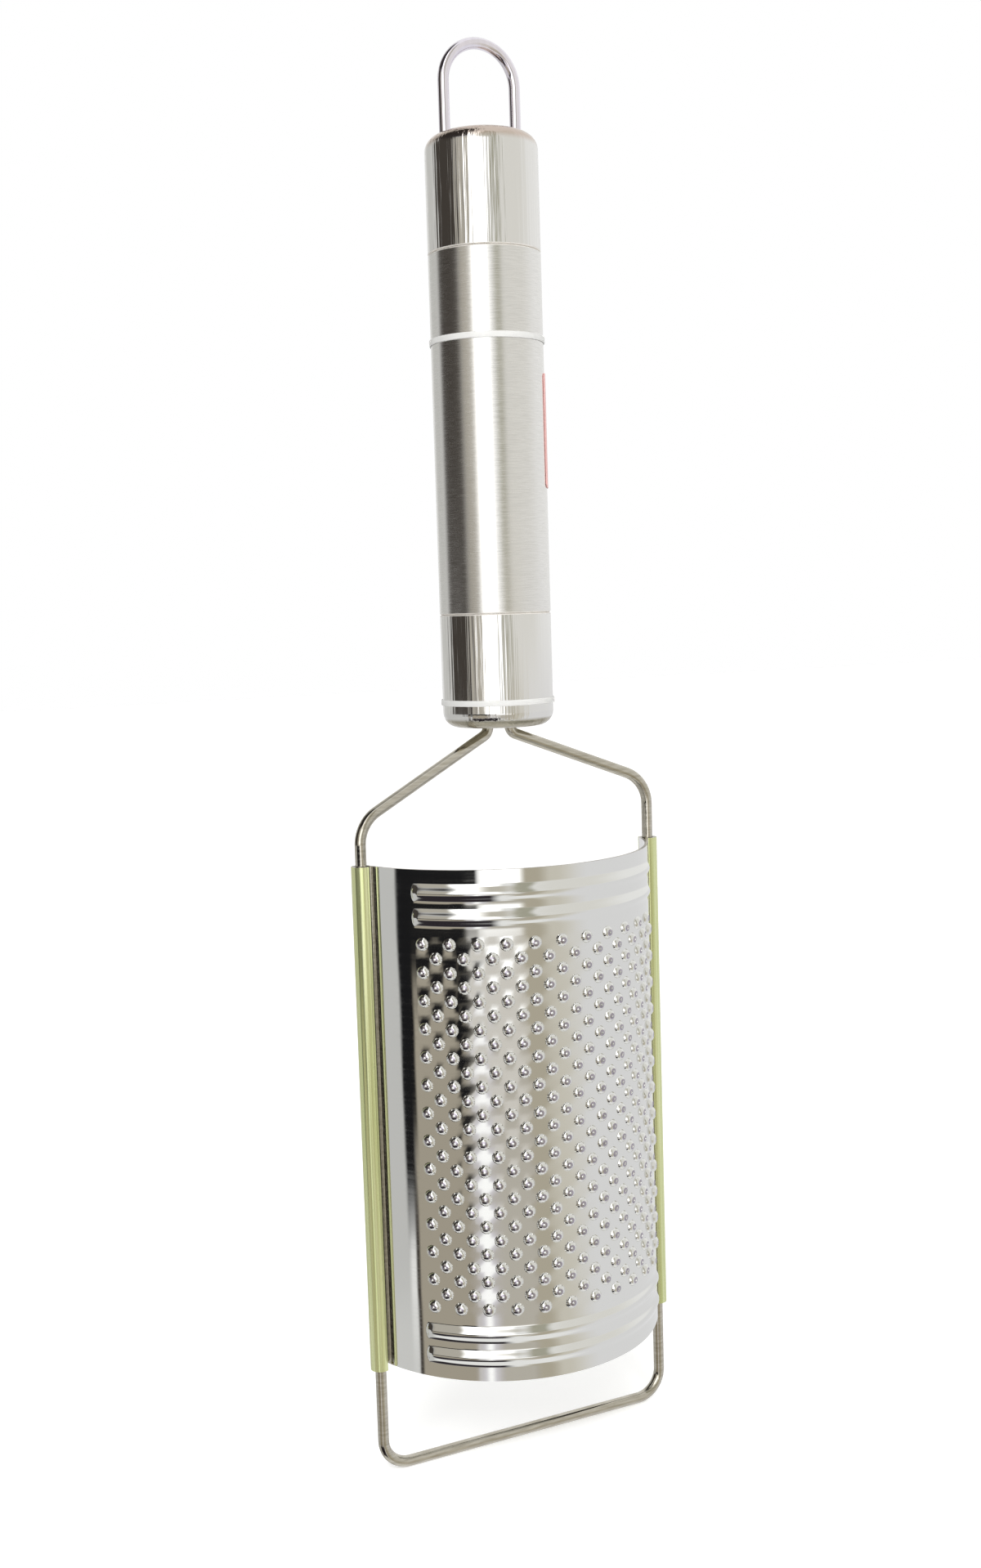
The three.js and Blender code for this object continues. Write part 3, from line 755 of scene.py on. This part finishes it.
# %% A material and its nodes
def material(name, colour, roughness, metallic=0.0):
    made = bpy.data.materials.get(name) or bpy.data.materials.new(name)
    made.use_nodes = True
    inputs = shader_inputs(made)
    inputs["Base Color"].default_value = (*colour, 1)
    inputs["Roughness"].default_value = roughness
    inputs["Metallic"].default_value = metallic
    return made


def shader_inputs(made):
    return made.node_tree.nodes["Principled BSDF"].inputs


def add_node(tree, kind, **settings):
    made = tree.nodes.new(kind)
    for key, value in settings.items():
        setattr(made, key, value)
    return made


# %% [markdown]
# ### Patterns
# Noise stretched along one axis gives hairs, brush lines or wrinkles, and even noise gives a fine grain.
# The values of noise mostly lie in a narrow band round the middle, so that band is spread over the range
# that is wanted. A second pattern goes by height alone, for a colour that changes near an end.

# %% Patterns
NOISE_LOW, NOISE_HIGH = 0.3, 0.7


def streaks(made, scale, detail=3.0):
    tree = made.node_tree
    where = add_node(tree, "ShaderNodeTexCoord")
    stretch = add_node(tree, "ShaderNodeMapping")
    stretch.inputs["Scale"].default_value = scale
    noise = add_node(tree, "ShaderNodeTexNoise")
    noise.inputs["Scale"].default_value = 1
    noise.inputs["Detail"].default_value = detail
    tree.links.new(where.outputs["Object"], stretch.inputs["Vector"])
    tree.links.new(stretch.outputs["Vector"], noise.inputs["Vector"])
    return noise.outputs["Fac"]


def spread(made, value, low, high):
    reach = add_node(made.node_tree, "ShaderNodeMapRange")
    reach.inputs["From Min"].default_value = NOISE_LOW
    reach.inputs["From Max"].default_value = NOISE_HIGH
    reach.inputs["To Min"].default_value = low
    reach.inputs["To Max"].default_value = high
    made.node_tree.links.new(value, reach.inputs["Value"])
    return reach.outputs["Result"]


def height_edge(made, start, full):
    tree = made.node_tree
    where = add_node(tree, "ShaderNodeTexCoord")
    parts = add_node(tree, "ShaderNodeSeparateXYZ")
    reach = add_node(tree, "ShaderNodeMapRange", interpolation_type="SMOOTHSTEP")
    reach.inputs["From Min"].default_value = start
    reach.inputs["From Max"].default_value = full
    tree.links.new(where.outputs["Object"], parts.inputs[0])
    tree.links.new(parts.outputs["Z"], reach.inputs["Value"])
    return reach.outputs["Result"]


# %% [markdown]
# ### What a pattern drives
# The same pattern can drive colour, roughness and bump together, so that a brush line is at once a little
# lighter, a little rougher and a little higher than the metal beside it.

# %% What a pattern drives
MIX_FIRST, MIX_SECOND, MIX_RESULT = 6, 7, 2  # a Mix node's colour sockets


def blend_colours(made, value, low, high):
    tree = made.node_tree
    mix = add_node(tree, "ShaderNodeMix", data_type="RGBA")
    mix.inputs[MIX_FIRST].default_value = (*low, 1)
    mix.inputs[MIX_SECOND].default_value = (*high, 1)
    tree.links.new(value, mix.inputs[0])
    tree.links.new(mix.outputs[MIX_RESULT], shader_inputs(made)["Base Color"])


def tint(made, value, low, high):
    blend_colours(made, spread(made, value, 0, 1), low, high)


def roughen(made, value, low, high):
    made.node_tree.links.new(spread(made, value, low, high), shader_inputs(made)["Roughness"])


def bump(made, value, distance, strength=1.0):
    tree = made.node_tree
    relief = add_node(tree, "ShaderNodeBump")
    relief.inputs["Distance"].default_value = distance
    relief.inputs["Strength"].default_value = strength
    tree.links.new(value, relief.inputs["Height"])
    tree.links.new(relief.outputs["Normal"], shader_inputs(made)["Normal"])


# %% [markdown]
# ### Handle steel
# The caps are polished along the handle, which leaves long fine hairs, and their ends carry a painted
# reflection: warm on the top shoulder, dark khaki on the bottom end. The tube is brushed round the handle.
# The two chamfers of a groove are painted pale and dull, a painted highlight along each groove.

# %% Handle steel
STEEL = (0.80, 0.79, 0.77)
WARM_SHOULDER_REFLECTION = (0.64, 0.54, 0.47)
KHAKI_END_REFLECTION = (0.42, 0.39, 0.31)
END_REFLECTION_FROM, END_REFLECTION_FULL = CAP_BOTTOM + 2 * MM, CAP_BOTTOM + 1.3 * MM


def polished_cap(name, start, full, painted_end_reflection):
    made = material(name, STEEL, roughness=0.1, metallic=1)
    hairs = streaks(made, (1500, 1500, 25))
    roughen(made, hairs, 0.06, 0.12)
    bump(made, hairs, 0.12 * MM)
    blend_colours(made, height_edge(made, start, full), STEEL, painted_end_reflection)
    return made


# Painted reflection: warm on the top shoulder, dark khaki on the bottom end.
polished_top = polished_cap("cap_polish_top", CAP_TOP - SHOULDER, CAP_TOP - SHOULDER / 2, WARM_SHOULDER_REFLECTION)
polished_low = polished_cap("cap_polish_low", END_REFLECTION_FROM, END_REFLECTION_FULL, KHAKI_END_REFLECTION)
# Painted highlight: the groove chamfers are coloured pale for the light line along each groove.
seam_highlight = material("seam_highlight", (0.86, 0.83, 0.79), roughness=0.5, metallic=0.6)
tint(seam_highlight, streaks(seam_highlight, (600, 600, 600)), (0.82, 0.79, 0.75), (0.90, 0.87, 0.83))
brushed = material("tube_brush", (0.76, 0.75, 0.72), roughness=0.2, metallic=1)
lines = streaks(brushed, (400, 400, 8000))
tint(brushed, lines, (0.74, 0.73, 0.71), (0.86, 0.85, 0.83))
roughen(brushed, lines, 0.2, 0.28)
bump(brushed, lines, 0.012 * MM, strength=0.5)
print("handle steel:", polished_top.name, polished_low.name, seam_highlight.name, brushed.name)

# %% [markdown]
# ### Wire and sheet steel
# The loop is the brighter of the two wires. The frame is drawn wire with fine rings round it, darker and
# warmer. The sheet is a mirror with a slow unevenness in it, cut edges show dark and light scores, and
# the teeth's crowns are dull, with a painted reflection that makes them dark and a little violet.

# %% Wire and sheet steel
loop_steel = material("loop_steel", (0.85, 0.81, 0.88), roughness=0.08, metallic=1)
polish = streaks(loop_steel, (900, 900, 90))
tint(loop_steel, polish, (0.81, 0.77, 0.84), (0.89, 0.85, 0.92))
roughen(loop_steel, polish, 0.06, 0.12)
frame_steel = material("frame_steel", (0.64, 0.61, 0.54), roughness=0.16, metallic=1)
drawn = streaks(frame_steel, (300, 300, 2200))
tint(frame_steel, drawn, (0.45, 0.42, 0.35), (0.60, 0.57, 0.50))
roughen(frame_steel, drawn, 0.06, 0.14)
mirror = material("sheet_mirror", (0.80, 0.80, 0.78), roughness=0.05, metallic=1)
roughen(mirror, streaks(mirror, (40, 40, 2400)), 0.03, 0.08)
bump(mirror, streaks(mirror, (70, 70, 70), detail=1), 0.05 * MM)
cut = material("sheet_cut", (0.55, 0.53, 0.49), roughness=0.45, metallic=1)
tint(cut, streaks(cut, (200, 200, 2600)), (0.36, 0.34, 0.31), (0.72, 0.70, 0.66))
# Painted reflection: the crown is coloured dark and a little violet.
crown = material("crown_reflection", (0.40, 0.36, 0.42), roughness=0.2, metallic=1)
tint(crown, streaks(crown, (1500, 1500, 1500)), (0.33, 0.30, 0.35), (0.47, 0.43, 0.49))
print("wire and sheet:", loop_steel.name, frame_steel.name, mirror.name, cut.name, crown.name)

# %% [markdown]
# ### Film, band and paper
# The film is a yellow-green plastic, so thin that the steel's shine comes through, with long wrinkles.
# The bands are milky and let some light through. The paper has a fine even grain.

# %% Film, band and paper
film = material("film_green", (0.62, 0.68, 0.32), roughness=0.15, metallic=0.8)
wrinkles = streaks(film, (2600, 2600, 25), detail=5)
tint(film, wrinkles, (0.57, 0.62, 0.29), (0.80, 0.83, 0.50))
roughen(film, wrinkles, 0.1, 0.2)
bump(film, wrinkles, 0.006 * MM)
band = material("band_clear", (0.93, 0.93, 0.92), roughness=0.25)
shader_inputs(band)["Transmission Weight"].default_value = 0.35
haze = streaks(band, (3000, 3000, 3000))
tint(band, haze, (0.92, 0.92, 0.91), (0.94, 0.94, 0.93))
roughen(band, haze, 0.23, 0.27)
paper = material("paper_red", (0.80, 0.42, 0.40), roughness=0.35)
tint(paper, streaks(paper, (3000, 3000, 3000)), (0.77, 0.38, 0.36), (0.84, 0.47, 0.45))
print("trim:", film.name, band.name, paper.name)

# %% [markdown]
# ### Put the finishes on
# Each piece gets its finish as its first material. The sheet has its three already, from its first tooth
# on. The handle's three pieces also get the seam's painted highlight, on the chamfers beside a groove.

# %% Put the finishes on
for piece, made in (
    (handle_top, polished_top),
    (handle_bottom, polished_low),
    (handle_middle, brushed),
    (loop_wire, loop_steel),
    (frame_wire, frame_steel),
    (film_left, film),
    (film_right, film),
    (band_upper, band),
    (band_lower, band),
    (label_plain, paper),
):
    piece.data.materials.clear()
    piece.data.materials.append(made)
# The chamfers beside each groove take the painted highlight.
for piece in (handle_top, handle_middle, handle_bottom):
    piece.data.materials.append(seam_highlight)
    seam_highlight_index = len(piece.data.materials) - 1
    for face in piece.data.polygons:
        seam_away = min(abs(face.center.z - TUBE_LOW), abs(face.center.z - TUBE_HIGH))
        if seam_away < SEAM_CHAMFER and face.center.xy.length > HANDLE_RADIUS - SEAM_CHAMFER:
            face.material_index = seam_highlight_index
print("finishes:", sorted(made.name for made in bpy.data.materials if made.users))

# %% [markdown]
# ## Studio
# A mirror looks like what stands around it. Lamps and cards could be set up as objects, but a patch
# painted into the world is easier to move and makes no noise. The world is a pale studio, and each patch
# in it is given by its direction from the grater. A later patch lies over an earlier one. Each row holds
# azimuth from, to and softness, elevation from, to and softness, all in degrees, and the colour.

# %% Patches of the studio
PALE = (0.92, 0.92, 0.91)
GREY = (0.60, 0.60, 0.59)
BROWN = (0.41, 0.37, 0.30)
DARK = (0.06, 0.052, 0.045)
BLACK = (0.012, 0.012, 0.013)
STUDIO = [
    # grey wall behind, on the left
    (-181, -143, 8, -90, 90, 5, (0.60, 0.60, 0.58)),
    (-181, -96, 2, -24, -6, 3, GREY),
    (-181, -90, 2, -60, -24, 3, GREY),
    # pale and beige walls, in front and on the right
    (30, 181, 14, -60, -2, 4, (0.80, 0.80, 0.81)),
    (-8, 34, 14, -50, -2, 4, (0.66, 0.63, 0.55)),
    (-8, 12, 6, -50, -2, 4, (0.48, 0.44, 0.35)),
    (4, 70, 20, -2, 60, 4, (0.80, 0.79, 0.75)),
    (-10, 5, 4, -2, 60, 4, (0.42, 0.41, 0.33)),
    # beige card and dark cloth on the left
    (-82, -54, 4, -6, 30, 2, (0.50, 0.47, 0.41)),
    (-138, -82, 6, -6, 40, 2, DARK),
    # bright window with a dimmer corner
    (-54, -22, 5, -6, 60, 2, (2.2, 2.2, 2.2)),
    (-36, -10, 10, 22, 60, 8, (0.60, 0.57, 0.50)),
    # dark cloth overhead
    (-150, -56, 8, 32, 86, 6, (0.04, 0.036, 0.035)),
    # bright sill below the window
    (-33, -5, 4, -11, -6, 2, (1.7, 1.7, 1.7)),
    # brown wall, low in front and on the left
    (-90, -44, 2, -34, -10, 2, BROWN),
    (-44, -2, 2, -34, -16, 2, BROWN),
    (-28, -2, 4, -34, -17, 2, (0.53, 0.50, 0.44)),
    # black shelf, thicker on the left
    (-97, -36, 2, -11, -6, 1.5, BLACK),
    (-97, -44, 2, -12.5, -6, 1.5, BLACK),
    # pale things below the shelf, one of them bright
    (-44, -5, 4, -17, -11, 2, (0.72, 0.69, 0.64)),
    (-44, -29, 5, -34, -15, 2, (0.74, 0.72, 0.76)),
    (-39, -34, 2, -34, -15, 2, (1.2, 1.2, 1.2)),
    # black and dark things below the shelf
    (-55, -45, 2, -17, -12, 1.5, BLACK),
    (-97, -86, 1.5, -17.5, -10, 1.5, BLACK),
    (-97, -89, 1.5, -20, -14, 1.5, BLACK),
    (-91, -88, 1.2, -34, -19, 1.5, DARK),
    # dark table
    (-97, -22, 6, -60, -34, 3, (0.03, 0.025, 0.03)),
]
print("studio of", len(STUDIO), "patches")

# %% [markdown]
# ### Directions
# A patch needs to know where a ray goes. The ray's direction is split into an azimuth, measured from the
# front, and an elevation, and a soft edge at each of the patch's limits turns them into a mask.

# %% Directions in the world
world = bpy.data.worlds.new("studio")
bpy.context.scene.world = world
world.use_nodes = True
sky = world.node_tree
sky.nodes.clear()


def math_node(operation, *values):
    made = add_node(sky, "ShaderNodeMath", operation=operation)
    for socket, value in zip(made.inputs, values):
        if isinstance(value, (int, float)):
            socket.default_value = value
        else:
            sky.links.new(value, socket)
    return made.outputs[0]


def soft_edge(value, start, end):
    made = add_node(sky, "ShaderNodeMapRange", interpolation_type="SMOOTHSTEP")
    made.inputs["From Min"].default_value = math.radians(start)
    made.inputs["From Max"].default_value = math.radians(end)
    sky.links.new(value, made.inputs["Value"])
    return made.outputs["Result"]


def between(value, low, high, soft):
    rising = soft_edge(value, low - soft, low + soft)
    falling = soft_edge(value, high + soft, high - soft)
    return math_node("MULTIPLY", rising, falling)


direction = add_node(sky, "ShaderNodeTexCoord")
axes = add_node(sky, "ShaderNodeSeparateXYZ")
sky.links.new(direction.outputs["Generated"], axes.inputs[0])
azimuth = math_node("ARCTAN2", axes.outputs["X"], math_node("MULTIPLY", axes.outputs["Y"], -1.0))
elevation = math_node("ARCSINE", axes.outputs["Z"])
print("direction from", len(sky.nodes), "nodes")

# %% [markdown]
# ### Patches over each other
# Each patch is mixed over what lies below it. The camera itself sees plain white, and so do rays that
# pass through the bands, while the steel reflects the studio.

# %% Build the studio
colour = None
for from_az, to_az, soft_az, from_el, to_el, soft_el, patch in STUDIO:
    in_azimuth = between(azimuth, from_az, to_az, soft_az)
    in_elevation = between(elevation, from_el, to_el, soft_el)
    mix = add_node(sky, "ShaderNodeMix", data_type="RGBA")
    sky.links.new(math_node("MULTIPLY", in_azimuth, in_elevation), mix.inputs[0])
    mix.inputs[MIX_FIRST].default_value = (*PALE, 1)
    if colour:
        sky.links.new(colour, mix.inputs[MIX_FIRST])
    mix.inputs[MIX_SECOND].default_value = (*patch, 1)
    colour = mix.outputs[MIX_RESULT]
studio = add_node(sky, "ShaderNodeBackground")
sky.links.new(colour, studio.inputs["Color"])
plain = add_node(sky, "ShaderNodeBackground")
plain.inputs["Color"].default_value = (1, 1, 1, 1)
ray = add_node(sky, "ShaderNodeLightPath")
seen = math_node("MAXIMUM", ray.outputs["Is Camera Ray"], ray.outputs["Is Transmission Ray"])
blend = add_node(sky, "ShaderNodeMixShader")
sky.links.new(seen, blend.inputs[0])
sky.links.new(studio.outputs[0], blend.inputs[1])
sky.links.new(plain.outputs[0], blend.inputs[2])
out = add_node(sky, "ShaderNodeOutputWorld")
sky.links.new(blend.outputs[0], out.inputs["Surface"])
print("world of", len(sky.nodes), "nodes")

# %% [markdown]
# ## Floor
# The bottom bar stands on a pale floor. A faint glow that only the camera sees lifts the floor to white
# and leaves the grater's shadow on it.

# %% Floor
FLOOR_SIZE = 6
FLOOR_GLOW = 0.4
fresh()
bpy.ops.mesh.primitive_plane_add(size=FLOOR_SIZE, location=(0, 0, FRAME_LOW))
floor = added("floor")
floor.visible_glossy = False
floor_paint = material("floor_paint", (0.9, 0.9, 0.9), roughness=0.8)
floor.data.materials.append(floor_paint)
floor_tree = floor_paint.node_tree
floor_ray = add_node(floor_tree, "ShaderNodeLightPath")
glow = add_node(floor_tree, "ShaderNodeMath", operation="MULTIPLY")
glow.inputs[1].default_value = FLOOR_GLOW
shader_inputs(floor_paint)["Emission Color"].default_value = (1, 1, 1, 1)
floor_tree.links.new(floor_ray.outputs["Is Camera Ray"], glow.inputs[0])
floor_tree.links.new(glow.outputs[0], shader_inputs(floor_paint)["Emission Strength"])
print("floor at mm", round(FRAME_LOW / MM, 1))

# %% [markdown]
# ## Lamp
# A large soft lamp above and behind the camera lights film and paper, and gives the floor its shadow. It
# is hidden from reflections, where its square would show.

# %% Lamp
LAMP_SIZE, LAMP_POWER = 0.9, 14
LAMP_PLACE, LAMP_TARGET = Vector((-0.5, -0.9, 0.9)), Vector((0, 0, -0.15))
lamp_data = bpy.data.lights.new("soft_lamp", "AREA")
lamp_data.size = LAMP_SIZE
lamp_data.energy = LAMP_POWER
lamp = bpy.data.objects.new("soft_lamp", lamp_data)
bpy.context.collection.objects.link(lamp)
lamp.location = LAMP_PLACE
lamp.rotation_euler = (LAMP_TARGET - LAMP_PLACE).to_track_quat("-Z", "Y").to_euler()
lamp.visible_glossy = False
bpy.context.scene.view_settings.view_transform = "Standard"
print("lamp of", LAMP_POWER, "watts")
